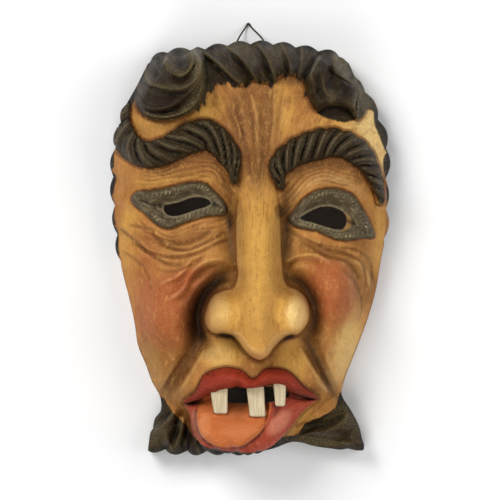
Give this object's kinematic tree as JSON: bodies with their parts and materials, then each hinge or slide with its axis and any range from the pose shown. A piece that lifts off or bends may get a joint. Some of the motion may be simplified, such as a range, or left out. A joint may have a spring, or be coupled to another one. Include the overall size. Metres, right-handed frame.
{
  "type": "carved carnival mask",
  "caption": "Carved and painted wooden carnival mask of a grotesque face, hollow at the back, with wooden teeth and a wire loop to hang it by.",
  "frame": {"origin": "under the middle of the whole object, on the plane of the back rim that the mask lies on", "axes": "+Z out of the face towards the viewer, +Y towards the crown and the hanging wire, +X to the viewer's right"},
  "size_m": [0.1839, 0.2839, 0.0949],
  "materials": {
    "painted_wood": "satin, hand painted",
    "tooth_wood": "matt",
    "iron_wire": "dull, darkened"
  },
  "bodies": {
    "root": {"mask": "painted_wood", "tooth_left": "tooth_wood", "tooth_middle": "tooth_wood", "tooth_right": "tooth_wood", "hanging_wire": "iron_wire"}
  },
  "joints": []
}
